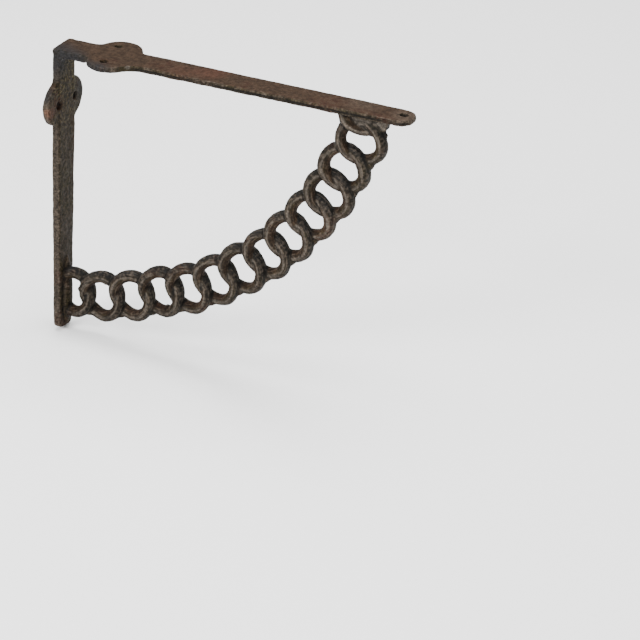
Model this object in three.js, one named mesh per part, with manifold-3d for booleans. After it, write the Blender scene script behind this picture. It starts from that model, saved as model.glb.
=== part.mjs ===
// Ornate cast iron shelf bracket, cast as one piece: a shelf arm and a wall leg of flat bar,
// each with a pair of screw lugs near the corner, braced by an arc of interlocked oval rings.
// Millimetres. +X runs out from the wall along the arm, +Z is up, and the chain lies in the XZ
// plane. The origin is on the wall face, between the two wall screws.
import * as THREE from 'three';
import { mergeVertices } from 'three/addons/utils/BufferGeometryUtils.js';
import Module from 'manifold-3d';

// Bars
const REACH = 240; // wall face to the tip of the arm
const HEIGHT = 198; // top of the arm to the foot of the leg
const ARM_THICK = 4;
const LEG_THICK = 5.2;
const ROOT_WIDTH = 21.2; // both bars at the corner
const TIP_WIDTH = 18.2;
const FOOT_WIDTH = 16.8;
const TIP_ROUND = 8.6;
const FOOT_ROUND = 5;
const EDGE_ROUND = 1.1;
const CORNER_FILLET = 4; // in the inner corner
const CORNER_DEPTH = 5.5; // the arm is this deep next to the corner
const CORNER_REACH = 22; // and eases to its own thickness past here
const CORNER_EASE = 7;
const CORNER_WIDTH = 20.2;

// Screw lugs, one on each side of each bar
const LUG_RADIUS = 13.8;
const LUG_AT = 38; // from the outer corner, along the bar
const LUG_OFFSET = 9; // centre of the lug's round, off the middle of the bar
const LUG_FILLET = 5;
const LEG_LUG_THICK = 4.2;
const WALL_SCREW_OFFSET = 10; // off the middle of the leg
const SHELF_SCREW_OFFSET = 13.4; // off the middle of the arm
const FAR_SCREW_BACK = 4; // the shelf screw on +Y is this much nearer to the wall
const TIP_SCREW_INSET = 6.6;
const TIP_SCREW_SIDE = 1; // towards +Y
const SCREW_RADIUS = 3.1;
const HOLE_SIDES = 20;

// Rings of the brace. Their centres step along an arc, and the last stands over the one before.
const RING_COUNT = 14;
const ARC_RADIUS = 222.7;
const ARC_CENTRE_X = -3.4;
const ARC_CENTRE_ABOVE_ARM = 51;
const FIRST_RING_ANGLE = -86.4; // degrees, from +X
const RING_STEP = 5.61; // degrees
const LAST_RING_RISE = 20;
const LAST_RING_SHIFT = 1.8;
// Rings that sit a little off the arc in the real casting: [outwards, along the chain], by number
const STRAY_RINGS = {
  2: [0.5, -0.4], 3: [-0.3, 0.3], 4: [-1.4, 0.9], 9: [-0.5, -0.7], 10: [-0.7, 0], 11: [-0.3, -0.8], 12: [-1.4, -0.9],
  13: [0.4, 0], 14: [-0.5, -0.2],
};
const RING_ALONG = 12.8; // middle of the ring's bar to the ring's centre, along the chain
const RING_ACROSS = 14; // and across it
const RING_THICK = 5.6; // the bar's section, in the plane of the ring
const RING_DEPTH = 9.2; // and from the front to the back
const RING_CHAMFER = 1.4;
const RING_WEAVE = 1.4; // how far the ring bends to the front and the back where two cross
const RING_STEPS = 24;
const WEB_THICK = 6.8; // fills the last ring under the arm
const WEB_DEPTH = 10;
const WEB_HALF_LENGTH = 15.6;

const ARM_TOP = LUG_AT; // the origin is level with the wall screws
const CLEAR = 40; // cutters and clips reach this far past the casting

const wasm = await Module();
wasm.setup();

// Makes a closed three.js geometry a solid that can be joined and cut.
function solid(geometry) {
  const bare = geometry.clone();
  bare.deleteAttribute('normal');
  bare.deleteAttribute('uv');
  const merged = mergeVertices(bare, 1e-4);
  return new wasm.Manifold(new wasm.Mesh({
    numProp: 3,
    vertProperties: new Float32Array(merged.attributes.position.array),
    triVerts: new Uint32Array(merged.index.array),
  }));
}

// The geometry of a joined and cut solid, with flat faces.
function geometryOf(shape) {
  const mesh = shape.getMesh();
  const geometry = new THREE.BufferGeometry();
  geometry.setAttribute('position', new THREE.BufferAttribute(mesh.vertProperties, 3));
  geometry.setIndex(new THREE.BufferAttribute(mesh.triVerts, 1));
  const faceted = geometry.toNonIndexed();
  faceted.computeVertexNormals();
  return faceted;
}

// A block between two corners.
function block(low, high) {
  const size = high.map((value, axis) => value - low[axis]);
  const geometry = new THREE.BoxGeometry(...size);
  geometry.translate(...low.map((value, axis) => value + size[axis] / 2));
  return solid(geometry);
}

// Points of an arc, with angles in radians.
function arc(x, y, radius, from, to, steps) {
  const points = [];
  for (let step = 0; step <= steps; step += 1) {
    const angle = from + (to - from) * step / steps;
    points.push(new THREE.Vector2(x + radius * Math.cos(angle), y + radius * Math.sin(angle)));
  }
  return points;
}

// The outline of one lug at the side of a bar, from the corner outwards: fillet, round, fillet.
function lugSide() {
  const filletY = ROOT_WIDTH / 2 + LUG_FILLET;
  const filletRise = filletY - LUG_OFFSET;
  const filletRun = Math.sqrt((LUG_RADIUS + LUG_FILLET) ** 2 - filletRise ** 2);
  const touch = Math.atan2(filletRise, filletRun);
  const { PI } = Math;
  return [
    ...arc(LUG_AT - filletRun, filletY, LUG_FILLET, -PI / 2, -touch, 4),
    ...arc(LUG_AT, LUG_OFFSET, LUG_RADIUS, PI - touch, touch, 14).slice(1, -1),
    ...arc(LUG_AT + filletRun, filletY, LUG_FILLET, PI + touch, 1.5 * PI, 4),
  ];
}

// The rounded end of a bar, from its side to its middle.
function endSide(length, width, round) {
  return arc(length - round, width / 2 - round, round, Math.PI / 2, 0, 7);
}

// A flat plate with its edges rounded, lying in XY, from one side of its outline. The other side
// is the mirror image.
function plateGeometry(side, thick) {
  const otherSide = side.map(({ x, y }) => new THREE.Vector2(x, -y)).reverse();
  const geometry = new THREE.ExtrudeGeometry(new THREE.Shape([...side, ...otherSide].reverse()), {
    depth: thick - 2 * EDGE_ROUND,
    bevelThickness: EDGE_ROUND,
    bevelSize: EDGE_ROUND,
    bevelOffset: -EDGE_ROUND,
    bevelSegments: 2,
  });
  geometry.translate(0, 0, EDGE_ROUND);
  return geometry;
}

// A screw hole's cutter, upright at a place in the XY plane.
function holeGeometry(x, y) {
  const geometry = new THREE.CylinderGeometry(SCREW_RADIUS, SCREW_RADIUS, CLEAR, HOLE_SIDES);
  geometry.rotateX(Math.PI / 2);
  geometry.translate(x, y, 0);
  return geometry;
}

// The shelf arm, its top face level with ARM_TOP.
function armSolid() {
  const root = new THREE.Vector2(0, ROOT_WIDTH / 2);
  const bar = plateGeometry([root, ...lugSide(), ...endSide(REACH, TIP_WIDTH, TIP_ROUND)], ARM_THICK);
  bar.translate(0, 0, ARM_TOP - ARM_THICK);
  const holes = [
    holeGeometry(LUG_AT - FAR_SCREW_BACK, SHELF_SCREW_OFFSET),
    holeGeometry(LUG_AT, -SHELF_SCREW_OFFSET),
    holeGeometry(REACH - TIP_SCREW_INSET, TIP_SCREW_SIDE),
  ];
  return holes.reduce((left, hole) => left.subtract(solid(hole.translate(0, 0, ARM_TOP))), solid(bar));
}

// The wall leg, a bar turned to hang from the corner with its back on the wall, and its thinner lugs.
function legSolid() {
  const stand = (geometry) => solid(geometry.rotateY(Math.PI / 2).translate(0, 0, ARM_TOP));
  const root = [0, 2 * LUG_AT].map((x) => new THREE.Vector2(x, ROOT_WIDTH / 2));
  const bar = stand(plateGeometry([...root, ...endSide(HEIGHT, FOOT_WIDTH, FOOT_ROUND)], LEG_THICK));
  const lugs = stand(plateGeometry(lugSide(), LEG_LUG_THICK));
  return [WALL_SCREW_OFFSET, -WALL_SCREW_OFFSET].reduce(
    (left, y) => left.subtract(stand(holeGeometry(LUG_AT, y))),
    bar.add(lugs),
  );
}

// The cast fillet in the inner corner of the two bars, with the deeper root of the arm.
function cornerSolid() {
  const x = LEG_THICK - EDGE_ROUND;
  const top = ARM_TOP - ARM_THICK + EDGE_ROUND;
  const bottom = ARM_TOP - CORNER_DEPTH;
  const centreX = LEG_THICK + CORNER_FILLET;
  const outline = new THREE.Shape([
    new THREE.Vector2(x, top),
    new THREE.Vector2(x, bottom - CORNER_FILLET),
    ...arc(centreX, bottom - CORNER_FILLET, CORNER_FILLET, Math.PI, Math.PI / 2, 5),
    new THREE.Vector2(CORNER_REACH, bottom),
    new THREE.Vector2(CORNER_REACH + CORNER_EASE, top),
  ]);
  const geometry = new THREE.ExtrudeGeometry(outline, { depth: CORNER_WIDTH, bevelEnabled: false });
  geometry.rotateX(Math.PI / 2);
  geometry.translate(0, CORNER_WIDTH / 2, 0);
  return solid(geometry);
}

// Centres of the rings in the XZ plane, each with the slope of the chain there.
function ringPlaces() {
  const places = [];
  for (let ring = 0; ring < RING_COUNT - 1; ring += 1) {
    const angle = THREE.MathUtils.degToRad(FIRST_RING_ANGLE + RING_STEP * ring);
    places.push({
      x: ARC_CENTRE_X + ARC_RADIUS * Math.cos(angle),
      z: ARM_TOP + ARC_CENTRE_ABOVE_ARM + ARC_RADIUS * Math.sin(angle),
      slope: angle + Math.PI / 2,
    });
  }
  const { x, z } = places.at(-1);
  places.push({ x: x + LAST_RING_SHIFT, z: z + LAST_RING_RISE, slope: Math.PI / 2 });
  return places.map((place, ring) => {
    const [out, along] = STRAY_RINGS[ring + 1] ?? [0, 0];
    return {
      x: place.x + along * Math.cos(place.slope) + out * Math.sin(place.slope),
      z: place.z + along * Math.sin(place.slope) - out * Math.cos(place.slope),
      slope: place.slope,
    };
  });
}

// The section of a ring's bar, a rectangle with its corners cut, from its middle outwards.
function ringSection() {
  const half = RING_THICK / 2;
  const deep = RING_DEPTH / 2;
  const corners = [
    [half - RING_CHAMFER, -deep],
    [half, RING_CHAMFER - deep],
    [half, deep - RING_CHAMFER],
    [half - RING_CHAMFER, deep],
  ];
  const inner = corners.map(([x, y]) => [-x, y]).reverse();
  const loop = [...corners, ...inner, corners[0]];
  return loop.map(([x, y]) => new THREE.Vector2(RING_ALONG + x, y));
}

// An oval ring of flat bar. It bends to the back where the next ring crosses it on the inside
// of the arc and to the front on the outside, so neighbours pass over and under each other.
function ringGeometry({ x, z, slope }) {
  const geometry = new THREE.LatheGeometry(ringSection(), RING_STEPS);
  const points = geometry.attributes.position;
  for (let index = 0; index < points.count; index += 1) {
    const turn = Math.atan2(points.getZ(index), points.getX(index));
    points.setZ(index, points.getZ(index) + (RING_ACROSS - RING_ALONG) * Math.sin(turn));
    points.setY(index, points.getY(index) + RING_WEAVE * Math.sin(2 * turn));
  }
  geometry.rotateY(-slope);
  geometry.translate(x, 0, z);
  return geometry;
}

// The chain, cut off inside the leg and inside the arm, with the last ring filled.
function chainSolid() {
  const places = ringPlaces();
  const rings = places.map((place) => solid(ringGeometry(place)));
  const last = places.at(-1);
  const underArm = ARM_TOP - ARM_THICK / 2;
  const web = block(
    [last.x - WEB_HALF_LENGTH, -WEB_THICK / 2, underArm - WEB_DEPTH],
    [last.x + WEB_HALF_LENGTH, WEB_THICK / 2, underArm],
  );
  const behindLeg = block([-CLEAR, -CLEAR, -HEIGHT], [LEG_THICK / 2, CLEAR, ARM_TOP]);
  const aboveArm = block([0, -CLEAR, underArm], [REACH, CLEAR, underArm + CLEAR]);
  const chain = rings.reduce((left, ring) => left.add(ring));
  return chain.subtract(behindLeg).subtract(aboveArm).add(web);
}

const casting = [legSolid(), cornerSolid(), chainSolid()].reduce(
  (left, piece) => left.add(piece),
  armSolid(),
);

const castIron = new THREE.MeshStandardMaterial({ color: 0x4b4038, roughness: 0.72, metalness: 0.55 });

const bracket = new THREE.Mesh(geometryOf(casting), castIron);
bracket.name = 'bracket';

const model = new THREE.Group();
model.add(bracket);

export default model;
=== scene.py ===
"""Ornate cast iron shelf bracket: two flat bars and a brace of linked oval rings, one rough sand casting.

Sizes are millimetres, apart from those in the material and the studio, which are metres. +X runs out along
the arm, +Z is up, and the origin is on the wall face between the two wall screws, as in the CAD model.
"""
import math
import random

import bmesh
import bpy
from mathutils import Matrix, Vector, kdtree, noise


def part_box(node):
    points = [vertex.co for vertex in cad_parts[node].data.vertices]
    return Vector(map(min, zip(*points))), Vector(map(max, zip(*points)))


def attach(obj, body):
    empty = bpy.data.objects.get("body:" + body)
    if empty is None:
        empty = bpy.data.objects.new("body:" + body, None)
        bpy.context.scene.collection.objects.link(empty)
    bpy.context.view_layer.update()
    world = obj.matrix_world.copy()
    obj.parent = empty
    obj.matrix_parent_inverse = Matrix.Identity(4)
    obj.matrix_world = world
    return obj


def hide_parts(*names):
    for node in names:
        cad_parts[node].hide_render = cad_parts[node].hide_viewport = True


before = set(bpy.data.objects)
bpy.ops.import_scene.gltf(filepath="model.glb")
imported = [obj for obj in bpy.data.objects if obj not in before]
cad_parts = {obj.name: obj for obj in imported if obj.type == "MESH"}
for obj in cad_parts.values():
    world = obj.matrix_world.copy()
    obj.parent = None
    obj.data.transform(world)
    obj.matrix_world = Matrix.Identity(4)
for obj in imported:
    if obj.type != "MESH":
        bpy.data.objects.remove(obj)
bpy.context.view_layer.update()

MM = 0.001
low, high = [Vector(corner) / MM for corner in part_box("bracket")]
REACH = high.x
ARM_TOP = high.z
HEIGHT = high.z - low.z

# Bars
ARM_THICK = 4.0
LEG_THICK = 5.2
ROOT_WIDTH = 21.2
TIP_WIDTH = 18.2
FOOT_WIDTH = 16.8
TIP_ROUND = 8.6
TIP_GROWTH = (0.6, 1.0)  # how much longer and wider the tip is than in the CAD model
FOOT_ROUND = 5.0
FAR_FOOT = (HEIGHT - 0.4, FOOT_WIDTH, 0.7 * FOOT_ROUND)  # the worn foot is a little askew
NEAR_FOOT = (HEIGHT - 1.3, FOOT_WIDTH, FOOT_ROUND)
EDGE_ROUND = 1.1
CORNER_FILLET = 4.0
CORNER_DEPTH = 5.5
CORNER_REACH = 22.0
CORNER_EASE = 7.0
CORNER_WIDTH = 20.6

# Screw lugs. Near ones are on -Y, far ones on +Y.
LUG_RADIUS = 13.8
LUG_AT = 38.0
LUG_OFFSET = 9.0
LUG_FILLET = 5.0
LEG_LUG_THICK = 4.7
# Each lug's place along the bar and off its middle, and its fillet away from the corner
ARM_FAR_LUG = (LUG_AT - 0.4, LUG_OFFSET + 1.0, LUG_FILLET)
ARM_NEAR_LUG = (LUG_AT + 1.2, LUG_OFFSET + 0.2, 3.2 * LUG_FILLET)
LEG_FAR_LUG = (LUG_AT + 0.4, LUG_OFFSET - 1.0, LUG_FILLET)
LEG_NEAR_LUG = (LUG_AT - 0.8, LUG_OFFSET + 0.9, 0.6 * LUG_FILLET)
WALL_SCREW_OFFSET = 10.0
SHELF_SCREW_OFFSET = 13.4
FAR_SCREW_BACK = 4.0
TIP_SCREW_INSET = 6.6
TIP_SCREW_SIDE = 1.0
SCREW_RADIUS = 3.1
ARM_SCREW_RADIUS = 2.8
WALL_SCREWS = ((LUG_AT, WALL_SCREW_OFFSET), (LUG_AT, -WALL_SCREW_OFFSET))
SHELF_SCREWS = (
    (LUG_AT - FAR_SCREW_BACK, SHELF_SCREW_OFFSET), (LUG_AT, -SHELF_SCREW_OFFSET),
    (REACH - TIP_SCREW_INSET, TIP_SCREW_SIDE),
)

# Rings
RING_COUNT = 14
ARC_RADIUS = 222.7
ARC_CENTRE_X = -3.4
ARC_CENTRE_ABOVE_ARM = 51.0
FIRST_RING_ANGLE = -86.4
RING_STEP = 5.61
LAST_RING_RISE = 20.0
LAST_RING_SHIFT = 1.8
# Rings that sit a little off the arc: number, then how far outwards and along the chain
STRAY_RINGS = {
    2: (0.5, -0.4), 3: (-0.3, 0.3), 4: (-1.4, 0.9), 9: (-0.5, -0.7), 10: (-0.7, 0), 11: (-0.3, -0.8),
    12: (-1.4, -0.9), 13: (0.4, 0), 14: (-0.5, -0.2),
}
RING_ALONG = 12.8
RING_ACROSS = 14.15
RING_THICK = 6.9
RING_DEPTH = 9.4
RING_DRAFT = 0.8  # the bar gets this much narrower on each side towards the ridge on its front and back
RING_SHOULDER = 0.66  # where the ridge begins, as a share of the way out
RING_CROWN = 0.024  # share of its height that a ring loses for each millimetre inside the middle of its bar
RING_EDGE = 0.8
RING_WEAVE = 1.6
RING_STEPS = 72
RING_THICK_SPREAD = (0.97, 1.07)  # each ring's own share of the thickness and of the depth
RING_DEPTH_SPREAD = (0.95, 1.05)
RING_REACH = 6.5  # the skin of a ring is nearer than this to the middle of its bar
# Fills between two rings: how far outwards and along the chain from their middle, and size
CUSP_FILLS = (
    (12.1, 0, (3.9, 3.4, 2.9)), (7.3, -0.9, (4.1, 3.0, 2.2)),
    (-7.3, 0.9, (4.1, 3.0, 2.2)), (-11.5, 0, (3.4, 3.2, 2.4)),
)
WEB_THICK = 6.8
WEB_DEPTH = 10.0
WEB_HALF_LENGTH = 15.4
WEB_PAST_RING = 0.9  # further on the side of the tip
WEB_CHAMFER = (1, 4)  # along the arm and up
GUSSET = 6
LEG_PAD = (3.6, 5.2, 25.0)  # how far the swelling goes out from the leg, across it and along it

# Scraps of iron left where the mould parted: X, Z and size
FLASH = (
    (15.2, -129.7, 1.1), (34.6, -121.0, 1.3), (37.5, -122.5, 0.9), (36.0, -141.6, 1.0),
    (79.0, -126.6, 0.8), (104.0, -94.5, 1.2), (111.5, -84.6, 1.1), (197.5, -24.0, 0.9),
    (196.2, 16.7, 1.0), (173.6, -49.4, 1.1), (223.0, 22.4, 1.1), (152.5, -64.0, 0.7), (128.0, -99.0, 0.9),
)
FLASH_DEPTH = 1.9  # times its size

# Steps of a round outline
ROUND_STEPS = 14
FILLET_STEPS = 8
HOLE_STEPS = 32

# Skin of the casting
VOXEL = 0.62
MOST_TRIANGLES = 196000
FILLET_GROWTH = 0.7  # the skin goes out, is closed anew and comes back, which rounds the inner corners
FILLET_SHRINK = 0.6
SKIN_SWELLS = ((0.30, 24.0), (0.24, 8.0), (0.15, 2.6), (0.08, 1.5))  # how far, over how long
SMOOTH_TOP = 0.45  # how much of that is left on top of the arm
CAST_SEED = 7

# Marks on the skin, which the material reads
RING_DARK = 0.80  # how light the first ring is, and the last one
RING_LIGHT = 1.25
RING_TONE_SPREAD = (0.86, 1.12)
RING_TONE_SEED = 11
STREAK_STRETCH = 15.0  # how many times the streaks are longer than wide
FINE_RELIEF = 6  # rounds of smoothing that the relief is measured against
COARSE_RELIEF = 50


def arc(x, y, radius, start, end, steps):
    """Points of an arc, angles in radians."""
    turns = [start + (end - start) * step / steps for step in range(steps + 1)]
    return [(x + radius * math.cos(turn), y + radius * math.sin(turn)) for turn in turns]


def moved(mesh, x, y, z):
    bmesh.ops.translate(mesh, verts=mesh.verts, vec=(x, y, z))
    return mesh


def stood_up(mesh):
    """Turns a plate that lies along +X to hang down the wall from the outer corner."""
    bmesh.ops.rotate(mesh, verts=mesh.verts, matrix=Matrix.Rotation(math.pi / 2, 3, "Y"))
    return moved(mesh, 0, 0, ARM_TOP)


def extruded(outline, along):
    """A closed solid from an outline of 3D points, drawn out along a vector."""
    mesh = bmesh.new()
    face = mesh.faces.new([mesh.verts.new(point) for point in outline])
    far = bmesh.ops.extrude_face_region(mesh, geom=[face])["geom"]
    verts = [part for part in far if isinstance(part, bmesh.types.BMVert)]
    bmesh.ops.translate(mesh, vec=along, verts=verts)
    bmesh.ops.recalc_face_normals(mesh, faces=mesh.faces)
    return mesh


def plate(far_side, near_side, thick, edge):
    """A flat plate on z = 0 from the outlines of its two sides, both given on +Y, with rounded edges."""
    outline = far_side + [(x, -y) for x, y in reversed(near_side)]
    mesh = extruded([(x, y, 0) for x, y in outline], (0, 0, thick))
    rims = [rim for rim in mesh.edges if abs(rim.verts[0].co.z - rim.verts[1].co.z) < thick / 2]
    bmesh.ops.bevel(mesh, geom=rims, offset=edge, segments=3, profile=0.5, affect="EDGES", material=-1)
    return mesh


def as_object(mesh, name):
    """A scene object from a bmesh, which it uses up."""
    data = bpy.data.meshes.new(name)
    mesh.to_mesh(data)
    mesh.free()
    piece = bpy.data.objects.new(name, data)
    bpy.context.scene.collection.objects.link(piece)
    return piece


def joined(meshes, name):
    """One object from several bmeshes, which may reach into each other."""
    whole = bmesh.new()
    for mesh in meshes:
        data = bpy.data.meshes.new("part")
        mesh.to_mesh(data)
        mesh.free()
        whole.from_mesh(data)
        bpy.data.meshes.remove(data)
    return as_object(whole, name)


def modified(piece, kind, **settings):
    """Applies one modifier to a piece's mesh."""
    step = piece.modifiers.new(kind, kind)
    for name, value in settings.items():
        setattr(step, name, value)
    bpy.context.view_layer.update()
    shape = piece.evaluated_get(bpy.context.evaluated_depsgraph_get())
    data = bpy.data.meshes.new_from_object(shape)
    old = piece.data
    piece.modifiers.clear()
    piece.data = data
    bpy.data.meshes.remove(old)


def drilled(mesh, radius, spots):
    """A plate with screw holes cut through it, at places in XY."""
    piece = as_object(mesh, "plate")
    for x, y in spots:
        hole = bmesh.new()
        bmesh.ops.create_cone(
            hole, cap_ends=True, segments=HOLE_STEPS, radius1=radius, radius2=radius, depth=HEIGHT,
        )
        cutter = as_object(moved(hole, x, y, 0), "hole")
        modified(piece, "BOOLEAN", operation="DIFFERENCE", solver="EXACT", object=cutter)
        bpy.data.objects.remove(cutter)
    whole = bmesh.new()
    whole.from_mesh(piece.data)
    bpy.data.objects.remove(piece)
    return whole


def trimmed(mesh, point, normal):
    """Cuts away what lies beyond a plane and closes the cut."""
    geom = mesh.verts[:] + mesh.edges[:] + mesh.faces[:]
    cut = bmesh.ops.bisect_plane(mesh, geom=geom, plane_co=point, plane_no=normal, clear_outer=True)
    rims = [part for part in cut["geom_cut"] if isinstance(part, bmesh.types.BMEdge)]
    bmesh.ops.holes_fill(mesh, edges=rims, sides=0)
    return mesh


def lug_side(at, offset, outer_fillet):
    """The outline of one lug at the side of a bar, from the corner outwards: fillet, round, fillet."""
    points = []
    for fillet, way in ((LUG_FILLET, -1), (outer_fillet, 1)):
        fillet_y = ROOT_WIDTH / 2 + fillet
        rise = fillet_y - offset
        run = math.sqrt((LUG_RADIUS + fillet) ** 2 - rise ** 2)
        touch = math.atan2(rise, run)
        half = arc(0, offset, LUG_RADIUS, math.pi / 2, touch, ROUND_STEPS)
        half += arc(run, fillet_y, fillet, math.pi + touch, 1.5 * math.pi, FILLET_STEPS)[1:]
        half = [(at + way * x, y) for x, y in half]
        points += half[1:] if way > 0 else half[::-1]
    return points


def end_side(length, width, end_round):
    """The outline of one side of a bar's rounded end."""
    return arc(length - end_round, width / 2 - end_round, end_round, math.pi / 2, 0, ROUND_STEPS)


def arm():
    root = [(0, ROOT_WIDTH / 2)]
    tip = end_side(REACH + TIP_GROWTH[0], TIP_WIDTH + TIP_GROWTH[1], TIP_ROUND)
    far_side = root + lug_side(*ARM_FAR_LUG) + tip
    near_side = root + lug_side(*ARM_NEAR_LUG) + tip
    mesh = drilled(plate(far_side, near_side, ARM_THICK, EDGE_ROUND), ARM_SCREW_RADIUS, SHELF_SCREWS)
    return moved(mesh, 0, 0, ARM_TOP - ARM_THICK)


def leg():
    top = [(0, ROOT_WIDTH / 2), (2 * LUG_AT, ROOT_WIDTH / 2)]
    mesh = plate(top + end_side(*FAR_FOOT), top + end_side(*NEAR_FOOT), LEG_THICK, EDGE_ROUND)
    return stood_up(drilled(mesh, SCREW_RADIUS, WALL_SCREWS))


def leg_lugs():
    mesh = plate(lug_side(*LEG_FAR_LUG), lug_side(*LEG_NEAR_LUG), LEG_LUG_THICK, EDGE_ROUND)
    return stood_up(drilled(mesh, SCREW_RADIUS, WALL_SCREWS))


def corner():
    """The fillet in the inner corner of the two bars, with the deeper root of the arm."""
    x = LEG_THICK - EDGE_ROUND
    top = ARM_TOP - ARM_THICK + EDGE_ROUND
    bottom = ARM_TOP - CORNER_DEPTH
    outline = [(x, top), (x, bottom - CORNER_FILLET)]
    outline += arc(
        LEG_THICK + CORNER_FILLET, bottom - CORNER_FILLET, CORNER_FILLET, math.pi, math.pi / 2, FILLET_STEPS,
    )
    outline += [(CORNER_REACH, bottom), (CORNER_REACH + CORNER_EASE, top)]
    return extruded([(x, -CORNER_WIDTH / 2, z) for x, z in outline], (0, CORNER_WIDTH, 0))


def ring_places():
    """The centre of each ring in the XZ plane, and the slope of the chain there."""
    places = []
    for number in range(RING_COUNT - 1):
        angle = math.radians(FIRST_RING_ANGLE + RING_STEP * number)
        x = ARC_CENTRE_X + ARC_RADIUS * math.cos(angle)
        z = ARM_TOP + ARC_CENTRE_ABOVE_ARM + ARC_RADIUS * math.sin(angle)
        places.append((x, z, angle + math.pi / 2))
    x, z, _ = places[-1]
    places.append((x + LAST_RING_SHIFT, z + LAST_RING_RISE, math.pi / 2))
    for number, (out, along) in STRAY_RINGS.items():
        places[number - 1] = off_place(places[number - 1], out, along)
    return places


def off_place(place, out, along):
    """A place moved outwards from the arc and along the chain."""
    x, z, slope = place
    x += along * math.cos(slope) + out * math.sin(slope)
    z += along * math.sin(slope) - out * math.cos(slope)
    return x, z, slope


def ring(place, chance):
    """An oval ring with a low ridge on its front and back, bent to the front and the back by turns."""
    mesh = bmesh.new()
    middle = RING_THICK / 2 * chance.uniform(*RING_THICK_SPREAD)
    front = middle - RING_DRAFT
    deep = RING_DEPTH / 2 * chance.uniform(*RING_DEPTH_SPREAD)
    shoulder = RING_SHOULDER * deep
    section = (
        (-middle, 0), (-front, -shoulder), (0, -deep), (front, -shoulder),
        (middle, 0), (front, shoulder), (0, deep), (-front, shoulder),
    )
    corners = [mesh.verts.new((RING_ALONG + side, depth, 0)) for side, depth in section]
    mesh.faces.new(corners)
    bmesh.ops.bevel(
        mesh, geom=corners, offset=RING_EDGE, segments=4, profile=0.5, affect="VERTICES", material=-1,
    )
    bmesh.ops.delete(mesh, geom=mesh.faces[:], context="FACES_ONLY")
    bmesh.ops.spin(
        mesh, geom=mesh.verts[:] + mesh.edges[:], cent=(0, 0, 0), axis=(0, 1, 0), angle=2 * math.pi,
        steps=RING_STEPS, use_merge=True,
    )
    for vert in mesh.verts:
        turn = math.atan2(vert.co.z, vert.co.x)
        inside = max(0, RING_ALONG - math.hypot(vert.co.x, vert.co.z))
        vert.co.z += (RING_ACROSS - RING_ALONG) * math.sin(turn)
        vert.co.z *= 1 - RING_CROWN * inside
        vert.co.y += RING_WEAVE * math.sin(2 * turn)
    bmesh.ops.recalc_face_normals(mesh, faces=mesh.faces)
    x, z, slope = place
    bmesh.ops.rotate(mesh, verts=mesh.verts, matrix=Matrix.Rotation(-slope, 3, "Y"))
    return moved(mesh, x, 0, z)


def lump(place, size):
    """A small rounded lump of iron at a place in the XZ plane, its size along the slope, in Y and across."""
    mesh = bmesh.new()
    bmesh.ops.create_icosphere(mesh, subdivisions=3, radius=1)
    bmesh.ops.scale(mesh, verts=mesh.verts, vec=size)
    x, z, slope = place
    bmesh.ops.rotate(mesh, verts=mesh.verts, matrix=Matrix.Rotation(-slope, 3, "Y"))
    return moved(mesh, x, 0, z)


def cusp_fills(places):
    """Iron that fills the notches where neighbouring rings cross, outside, inside and in the holes."""
    fills = []
    for near, far in zip(places, places[1:]):
        middle = [(a + b) / 2 for a, b in zip(near, far)]
        fills += [lump(off_place(middle, out, along), size) for out, along, size in CUSP_FILLS]
    return fills


def leg_pad(places):
    """The low swelling on the leg where the first ring grows out of it."""
    return lump((LEG_THICK, places[0][1], 0), LEG_PAD)


def flash():
    return [lump((x, z, 0), (size, FLASH_DEPTH * size, size)) for x, z, size in FLASH]


def web(places):
    """The plate that fills the last ring under the arm, with a gusset on the side of the leg."""
    x, _, _ = places[-1]
    top = ARM_TOP - ARM_THICK / 2
    under = top - ARM_THICK / 2
    bottom = top - WEB_DEPTH
    left = x - WEB_HALF_LENGTH
    right = x + WEB_HALF_LENGTH + WEB_PAST_RING
    back, up = WEB_CHAMFER
    outline = [(left - GUSSET, top), (left - GUSSET, under)]
    outline += arc(left - GUSSET, under - GUSSET, GUSSET, math.pi / 2, 0, FILLET_STEPS)
    outline += [(left, bottom), (right - back, bottom), (right, bottom + up), (right, top)]
    return extruded([(x, -WEB_THICK / 2, z) for x, z in outline], (0, WEB_THICK, 0))


def swell(piece, distance):
    """Moves every point of a mesh out along its normal."""
    spots = [vert.co + vert.normal * distance for vert in piece.data.vertices]
    set_points(piece.data, spots)


def set_points(data, spots):
    """Moves all points at once, since a normal is worked out anew after each move."""
    data.vertices.foreach_set("co", [value for spot in spots for value in spot])
    data.update()


def roughen(piece):
    """Moves the skin in and out a little, as the sand of the mould leaves it."""
    spots = []
    for vert in piece.data.vertices:
        swing = sum(far * noise.noise(vert.co / size) for far, size in SKIN_SWELLS)
        if vert.co.z > ARM_TOP - ARM_THICK and vert.normal.z > 0.5:
            swing *= SMOOTH_TOP
        spots.append(vert.co + vert.normal * swing)
    set_points(piece.data, spots)


def casting():
    """The whole bracket in one skin."""
    chance = random.Random(CAST_SEED)
    places = ring_places()
    rings = [ring(place, chance) for place in places]
    rings[0] = trimmed(rings[0], (LEG_THICK / 2, 0, 0), (-1, 0, 0))
    under = (0, 0, ARM_TOP - ARM_THICK / 2)
    rings[-2:] = [trimmed(mesh, under, (0, 0, 1)) for mesh in rings[-2:]]
    parts = rings + cusp_fills(places) + flash()
    parts += [leg_pad(places), web(places), corner(), arm(), leg(), leg_lugs()]
    piece = joined(parts, "bracket_casting")
    modified(piece, "REMESH", mode="VOXEL", voxel_size=VOXEL)
    swell(piece, FILLET_GROWTH)
    modified(piece, "REMESH", mode="VOXEL", voxel_size=VOXEL)
    swell(piece, -FILLET_SHRINK)
    modified(piece, "SMOOTH", factor=0.5, iterations=2)
    roughen(piece)
    share = MOST_TRIANGLES / (2 * len(piece.data.polygons))
    modified(piece, "DECIMATE", ratio=min(1, share))
    return piece


def marked(piece, name, values):
    """Keeps one number a point on the mesh, for its material to read."""
    layer = piece.data.attributes.new(name, "FLOAT", "POINT")
    layer.data.foreach_set("value", values)


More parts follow.
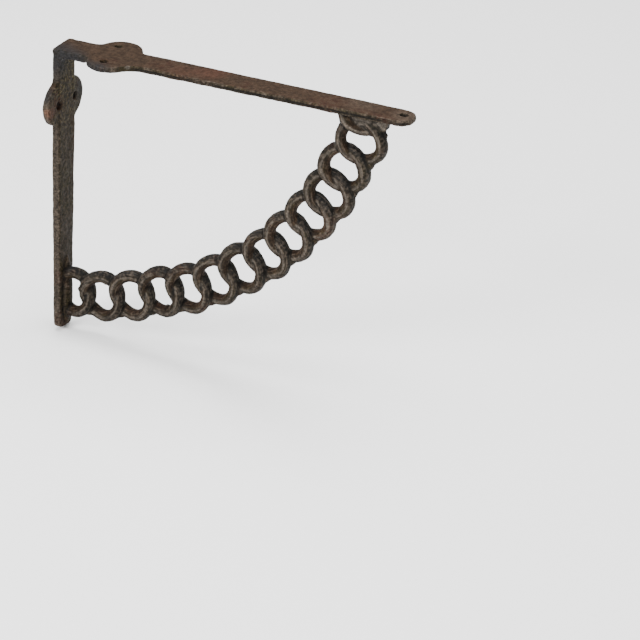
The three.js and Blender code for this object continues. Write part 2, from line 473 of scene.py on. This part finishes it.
def mark_relief(piece, name, rounds):
    """Marks how far each point stands out of the same shape smoothed over, in millimetres."""
    copy = bpy.data.objects.new("smoothed", piece.data.copy())
    bpy.context.scene.collection.objects.link(copy)
    modified(copy, "SMOOTH", factor=0.5, iterations=rounds)
    pairs = zip(piece.data.vertices, copy.data.vertices)
    values = [(here.co - there.co).dot(there.normal) for here, there in pairs]
    marked(piece, name, values)
    bpy.data.objects.remove(copy)


def ring_tones():
    """How light each ring is."""
    chance = random.Random(RING_TONE_SEED)
    step = (RING_LIGHT - RING_DARK) / RING_COUNT
    return [(RING_DARK + step * number) * chance.uniform(*RING_TONE_SPREAD) for number in range(RING_COUNT)]


def ring_lines(places):
    """The middle of each ring's bar as a search tree, with the ring and the turn of each of its points."""
    line = kdtree.KDTree(len(places) * RING_STEPS)
    turns = []
    for number, (x, z, slope) in enumerate(places):
        turned = Matrix.Rotation(-slope, 3, "Y")
        for step in range(RING_STEPS):
            turn = 2 * math.pi * step / RING_STEPS
            spot = Vector((
                RING_ALONG * math.cos(turn), RING_WEAVE * math.sin(2 * turn), RING_ACROSS * math.sin(turn),
            ))
            line.insert(turned @ spot + Vector((x, 0, z)), len(turns))
            turns.append((number, turn))
    line.balance()
    return line, turns


def mark_rings(piece):
    """Marks the skin of the rings: their tone, which way it faces, 1 away from the ring's centre and -1
    towards it, and a place for streaks that run along the bar."""
    places = ring_places()
    line, turns = ring_lines(places)
    tones = ring_tones()
    masks = []
    sides = []
    shades = []
    streaks = []
    for vert in piece.data.vertices:
        _, index, far = line.find(vert.co)
        number, turn = turns[index]
        x, z, slope = places[number]
        here = Matrix.Rotation(slope, 3, "Y") @ (vert.co - Vector((x, 0, z)))
        outward = Matrix.Rotation(-slope, 3, "Y") @ Vector((math.cos(turn), 0, math.sin(turn)))
        clear = vert.co.z < ARM_TOP - ARM_THICK and vert.co.x > LEG_THICK + EDGE_ROUND
        masks.append(1.0 if far < RING_REACH and clear else 0.0)
        sides.append(vert.normal.dot(outward) * masks[-1])
        shades.append(tones[number] if masks[-1] else 1.0)
        round_ring = math.atan2(here.z, here.x) * RING_ALONG / STREAK_STRETCH
        streaks += [round_ring + number * RING_ALONG, math.hypot(here.x, here.z), here.y]
    marked(piece, "ring", masks)
    marked(piece, "ring_side", sides)
    marked(piece, "ring_tone", shades)
    layer = piece.data.attributes.new("streak", "FLOAT_VECTOR", "POINT")
    layer.data.foreach_set("vector", streaks)


bracket = casting()
mark_rings(bracket)
mark_relief(bracket, "ridge", FINE_RELIEF)
mark_relief(bracket, "hollow", COARSE_RELIEF)
marked(bracket, "facing_up", [vert.normal.z for vert in bracket.data.vertices])
marked(bracket, "facing_side", [-vert.normal.y for vert in bracket.data.vertices])
bracket.data.transform(Matrix.Scale(MM, 4))
bracket.data.shade_smooth()

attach(bracket, "root")
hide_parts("bracket")


class Maker:
    """Adds nodes to one node tree."""

    def __init__(self, tree):
        self.tree = tree

    def add(self, kind, **settings):
        node = self.tree.nodes.new(kind)
        for name, value in settings.items():
            setattr(node, name, value)
        return node

    def link(self, source, target):
        self.tree.links.new(source, target)

    def fill(self, socket, value):
        """Feeds a socket from another socket or sets it."""
        if isinstance(value, bpy.types.NodeSocket):
            self.link(value, socket)
        else:
            socket.default_value = value

    def attribute(self, name, output="Fac"):
        return self.add("ShaderNodeAttribute", attribute_name=name).outputs[output]

    def place(self):
        return self.add("ShaderNodeTexCoord").outputs["Object"]

    def place_on_rings(self):
        """The place along, out from and to the front of a ring, in metres, drawn out along the bar."""
        node = self.add("ShaderNodeVectorMath", operation="SCALE")
        self.link(self.attribute("streak", "Vector"), node.inputs[0])
        node.inputs["Scale"].default_value = MM
        return node.outputs["Vector"]

    def along(self, axis):
        """Metres from the origin along an axis."""
        node = self.add("ShaderNodeSeparateXYZ")
        self.link(self.place(), node.inputs["Vector"])
        return node.outputs[axis]

    def spot(self, centre, radius):
        """A mask that fades out from a place given in millimetres."""
        node = self.add("ShaderNodeVectorMath", operation="DISTANCE")
        self.link(self.place(), node.inputs[0])
        node.inputs[1].default_value = [value * MM for value in centre]
        return self.ramp(node.outputs["Value"], radius * MM, 0.4 * radius * MM)

    def noise(self, scale, detail, roughness=0.55, distortion=0.0, place=None):
        node = self.add("ShaderNodeTexNoise")
        self.link(place or self.place(), node.inputs["Vector"])
        node.inputs["Scale"].default_value = scale
        node.inputs["Detail"].default_value = detail
        node.inputs["Roughness"].default_value = roughness
        node.inputs["Distortion"].default_value = distortion
        return node.outputs["Fac"]

    def ramp(self, value, start, end, low=0.0, high=1.0):
        """A value read from low to high as the input goes from start to end."""
        node = self.add("ShaderNodeMapRange")
        self.fill(node.inputs["Value"], value)
        for name, number in (("From Min", start), ("From Max", end), ("To Min", low), ("To Max", high)):
            node.inputs[name].default_value = number
        return node.outputs["Result"]

    def math(self, operation, first, second):
        node = self.add("ShaderNodeMath", operation=operation)
        self.fill(node.inputs[0], first)
        self.fill(node.inputs[1], second)
        return node.outputs["Value"]

    def times(self, first, *others):
        """The product of several values."""
        for other in others:
            first = self.math("MULTIPLY", first, other)
        return first

    def mix(self, share, below, above, blend="MIX"):
        node = self.add("ShaderNodeMix", data_type="RGBA", blend_type=blend)
        self.fill(node.inputs["Factor"], share)
        self.fill(node.inputs[6], below)
        self.fill(node.inputs[7], above)
        return node.outputs[2]


def colour(red, green, blue):
    return (red, green, blue, 1.0)


IRON = colour(0.0225, 0.0160, 0.0098)
BROWN = colour(0.034, 0.0190, 0.0110)
RUST = colour(0.052, 0.0190, 0.0115)
OLIVE = colour(0.0215, 0.0165, 0.0068)
SLATE = colour(0.0105, 0.0105, 0.0115)
UMBER = colour(0.015, 0.0092, 0.0052)
# Soot, also used as painted shade in the hollows
SOOT_AND_SHADE = colour(0.0030, 0.0024, 0.0019)
WORN = colour(0.095, 0.074, 0.057)
# A paler grey that paints light on the sides towards -Y
LIT_GREY = colour(0.038, 0.0295, 0.0222)
# Paints a highlight on the front crests of the rings
HIGHLIGHT_PALE = colour(0.074, 0.063, 0.052)
RIM = colour(0.0115, 0.0117, 0.0113)
INNER = colour(0.027, 0.0142, 0.0083)
YELLOW = colour(0.070, 0.056, 0.020)
ORANGE = colour(0.125, 0.058, 0.034)
# A painted highlight
WHITE_GLINT = colour(0.150, 0.130, 0.115)

# Patches: a colour, how much of it, its centre in millimetres and how far it reaches
PLACES = (
    # Painted shade: slate in and around the outer corner, on the near leg lug's upper edge and on the far
    # leg lug
    (SLATE, 0.90, (2, -12, 33), 19.0),
    (SLATE, 0.90, (17, -14, 32), 13.0),
    (SLATE, 0.90, (27, -22, 34), 10.0),
    (SLATE, 0.90, (38, -24, 34), 11.0),
    (SLATE, 0.85, (-1, -21, 11), 9.0),
    (SLATE, 0.75, (4, 21, 4), 13.0),
    (RUST, 0.45, (104, 3, 38), 14.0),
    (RUST, 0.30, (88, -4, 38), 12.0),
    (WORN, 0.15, (205, 4, 38), 14.0),
    (WORN, 0.25, (236, 0, 38), 12.0),
    # Painted highlights: a white glint where the near arm lug meets the bar, and an orange one on the near
    # leg lug's worn edge
    (WHITE_GLINT, 0.60, (55.3, -14.8, 37.6), 2.8),
    (ORANGE, 0.60, (4.0, -23.3, -0.5), 3.4),
    (RUST, 0.60, (4.6, -19.5, -2.0), 5.5),
)


class Skin:
    """What the patina is painted with: patterns of noise, and how the iron lies at each point."""

    def __init__(self, make):
        self.broad = make.noise(45, 2.0)
        self.patch = make.noise(95, 4.0, 0.6, 0.4)
        self.mottle = make.noise(380, 3.0, 0.6)
        self.speckle = make.noise(850, 2.0, 0.6)
        self.grain = make.noise(1900, 2.0, 0.6)
        self.streak = make.noise(900, 2.0, 0.6, place=make.place_on_rings())
        self.ridge = make.attribute("ridge")
        self.hollow = make.attribute("hollow")
        self.up = make.attribute("facing_up")
        self.side = make.attribute("facing_side")
        self.outward = make.attribute("ring_side")
        self.ring = make.attribute("ring")
        self.bar = make.math("SUBTRACT", 1.0, self.ring)
        self.top = make.times(make.ramp(self.up, 0.6, 0.95), self.bar)
        self.x = make.along("X")
        self.z = make.along("Z")


def tone_bars(make, skin, tone):
    """Yellow specks high on the leg, brown on top of the arm, and painted light: a paler grey on the sides
    towards -Y below the arm.
    """
    upright = make.times(make.ramp(skin.side, 0.5, 0.2), make.ramp(skin.up, 0.5, 0.2), skin.bar)
    leg_high = make.times(upright, make.ramp(skin.x, 0.016, 0.010), make.ramp(skin.z, -0.04, 0.02))
    specks = make.ramp(skin.speckle, 0.53, 0.62)
    tone = make.mix(make.times(specks, leg_high, 0.7), tone, YELLOW)
    tone = make.mix(make.times(skin.top, 0.9), tone, BROWN)
    # Painted light: the sides towards -Y below the arm are painted paler and greyer, as if lit from the
    # front.
    lit_side = make.times(make.ramp(skin.side, 0.6, 0.95), skin.bar, make.ramp(skin.z, 0.031, 0.026))
    return make.mix(make.times(lit_side, 0.85), tone, LIT_GREY)


def tone_rings(make, skin, tone):
    """Dark upper sides and rims, brown inner sides, and a pale painted highlight along the front crest of
    each ring.
    """
    shelf = make.times(make.ramp(skin.up, 0.30, 0.75), skin.ring, 0.8)
    tone = make.mix(shelf, tone, make.mix(make.ramp(skin.outward, -0.1, 0.3), UMBER, SLATE))
    tone = make.mix(make.times(make.ramp(skin.outward, 0.30, 0.75), 0.7), tone, RIM)
    tone = make.mix(make.times(make.ramp(skin.outward, -0.30, -0.75), 0.6), tone, INNER)
    # Painted highlight: the front of each ring's bar, which faces the key lamp, is painted pale.
    crest = make.times(make.ramp(skin.side, 0.90, 0.99), skin.ring, 0.8)
    return make.mix(crest, tone, HIGHLIGHT_PALE)


def rust_and_wear(make, skin, tone):
    """Rust in broad patches, soot in small ones, streaks along the rings, and bare iron on the edges, partly
    a painted highlight.
    """
    rust = make.times(make.ramp(skin.broad, 0.54, 0.68), make.ramp(skin.mottle, 0.40, 0.60), 0.55)
    tone = make.mix(rust, tone, RUST)
    tone = make.mix(make.ramp(skin.mottle, 0.38, 0.68, 0.0, 0.6), tone, SOOT_AND_SHADE)
    dark_streaks = make.times(make.ramp(skin.streak, 0.48, 0.64), skin.ring, 0.6)
    tone = make.mix(dark_streaks, tone, SOOT_AND_SHADE)
    light_streaks = make.times(make.ramp(skin.streak, 0.44, 0.34), skin.ring, 0.35)
    tone = make.mix(light_streaks, tone, WORN)
    # Lighter edges: bare worn iron, and partly a painted highlight where the edges catch the light.
    return make.mix(make.ramp(skin.ridge, 0.030, 0.085, 0.0, 0.5), tone, WORN)


def tone_places(make, skin, tone):
    """The patches, with ragged edges, some of them painted shade and painted highlights, and a dark line
    along the arm's side towards -Y.
    """
    ragged = make.ramp(skin.mottle, 0.66, 0.46, 0.5, 1.0)
    for paint, share, centre, radius in PLACES:
        tone = make.mix(make.times(make.spot(centre, radius), ragged, share), tone, paint)
    band = make.times(make.ramp(skin.z, 0.0346, 0.0354), make.ramp(skin.z, 0.0369, 0.0362))
    dark_line = make.times(band, make.ramp(skin.side, 0.4, 0.7), make.ramp(skin.x, 0.052, 0.060))
    return make.mix(make.times(dark_line, make.ramp(skin.patch, 0.42, 0.52, 0.2, 0.9)), tone, SOOT_AND_SHADE)


# Darkens the hollows and the fine grooves: partly soot, and partly painted shade, as in the screw holes and
# the inner corners.
def soot_and_shade_in_hollows(make, skin, tone):
    tone = make.mix(make.ramp(skin.hollow, -0.12, -0.60, 0.0, 0.55), tone, SOOT_AND_SHADE)
    return make.mix(make.ramp(skin.ridge, -0.020, -0.090, 0.0, 0.9), tone, SOOT_AND_SHADE)


def flecked(make, skin, tone):
    """Fine flecks, weaker on top of the arm and on the rings, and the tone of each ring."""
    calm = make.math("MAXIMUM", skin.top, make.times(skin.ring, 0.75))
    strong = make.ramp(skin.speckle, 0.36, 0.66, 0.45, 1.6)
    weak = make.ramp(skin.speckle, 0.36, 0.66, 0.82, 1.18)
    tone = make.mix(1.0, tone, make.mix(calm, strong, weak), "MULTIPLY")
    return make.mix(1.0, tone, make.attribute("ring_tone"), "MULTIPLY")


def rough_cast_iron():
    """Dry old iron with rust, soot and painted shade in its hollows, bare crests partly painted as
    highlights, and painted light and shade on some sides and patches.
    """
    material = bpy.data.materials.new("rough_cast_iron")
    material.use_nodes = True
    shader = material.node_tree.nodes["Principled BSDF"]
    shader.inputs["Metallic"].default_value = 0.0
    shader.inputs["Specular IOR Level"].default_value = 0.08

    make = Maker(material.node_tree)
    skin = Skin(make)
    tone = make.mix(make.ramp(skin.patch, 0.42, 0.62), IRON, OLIVE)
    for step in (tone_bars, tone_rings, rust_and_wear, tone_places, soot_and_shade_in_hollows, flecked):
        tone = step(make, skin, tone)
    make.link(tone, shader.inputs["Base Color"])
    make.link(make.ramp(skin.mottle, 0.3, 0.7, 0.55, 0.80), shader.inputs["Roughness"])

    height = make.math("ADD", make.times(skin.speckle, 0.6), make.times(skin.grain, 0.4))
    bump = make.add("ShaderNodeBump")
    bump.inputs["Strength"].default_value = 0.7
    bump.inputs["Distance"].default_value = 0.0006
    make.link(height, bump.inputs["Height"])
    make.link(bump.outputs["Normal"], shader.inputs["Normal"])
    return material


bracket.data.materials.append(rough_cast_iron())


# Studio
FLOOR_SIZE = 6.0
FLOOR_GAP = 0.0005
AIM = Vector((0.12, 0, -0.05))  # near the middle of the bracket


def pale_floor():
    mesh = bmesh.new()
    bmesh.ops.create_grid(mesh, x_segments=1, y_segments=1, size=FLOOR_SIZE)
    piece = as_object(moved(mesh, 0, 0, low.z * MM - FLOOR_GAP), "floor")
    material = bpy.data.materials.new("pale_floor")
    material.use_nodes = True
    shader = material.node_tree.nodes["Principled BSDF"]
    shader.inputs["Base Color"].default_value = colour(0.90, 0.90, 0.90)
    shader.inputs["Roughness"].default_value = 0.9
    piece.data.materials.append(material)


def soft_light(name, spot, size, power):
    """A square soft box aimed at the bracket."""
    data = bpy.data.lights.new(name, "AREA")
    data.size = size
    data.energy = power
    lamp = bpy.data.objects.new(name, data)
    bpy.context.scene.collection.objects.link(lamp)
    lamp.location = spot
    lamp.rotation_euler = (AIM - Vector(spot)).to_track_quat("-Z", "Y").to_euler()


def studio():
    pale_floor()
    soft_light("key", (-0.6, -1.8, 1.0), 0.9, 80)
    soft_light("top", (0.2, 0.2, 2.0), 1.6, 90)
    soft_light("fill", (1.9, -0.5, 0.8), 1.2, 10)
    world = bpy.data.worlds.new("studio")
    world.use_nodes = True
    backdrop = world.node_tree.nodes["Background"]
    backdrop.inputs["Color"].default_value = colour(1, 1, 1)
    backdrop.inputs["Strength"].default_value = 0.7
    bpy.context.scene.world = world


studio()

# Camera
AZIMUTH = math.radians(22.8289)
ELEVATION = math.radians(26.6306)
ROLL = math.radians(2.815)
DISTANCE = 1831.7376
PIXELS_PER_MM = 1.595
PICTURE_WIDTH = 640
CORNER_PIXEL = (60.3707, 42.8248)
SENSOR = 36.0
FARTHEST = 20.0  # metres that the camera sees


def photo_camera():
    """Looks as the photograph does: the top of the outer corner falls on its pixel there."""
    flat = math.cos(ELEVATION)
    back = Vector((math.sin(AZIMUTH) * flat, -math.cos(AZIMUTH) * flat, math.sin(ELEVATION)))
    level = Vector((math.cos(AZIMUTH), math.sin(AZIMUTH), 0))
    upright = back.cross(level)
    right = level * math.cos(ROLL) + upright * math.sin(ROLL)
    up = upright * math.cos(ROLL) - level * math.sin(ROLL)
    across = (CORNER_PIXEL[0] - PICTURE_WIDTH / 2) / PIXELS_PER_MM
    above = (PICTURE_WIDTH / 2 - CORNER_PIXEL[1]) / PIXELS_PER_MM
    eye = back * DISTANCE - right * across - up * above + Vector((0, 0, ARM_TOP))
    data = bpy.data.cameras.new("camera")
    data.sensor_width = SENSOR
    data.lens = SENSOR * PIXELS_PER_MM * DISTANCE / PICTURE_WIDTH
    data.clip_end = FARTHEST
    item = bpy.data.objects.new("camera", data)
    bpy.context.scene.collection.objects.link(item)
    item.matrix_world = Matrix.Translation(eye * MM) @ Matrix((right, up, back)).transposed().to_4x4()
    bpy.context.scene.camera = item


photo_camera()
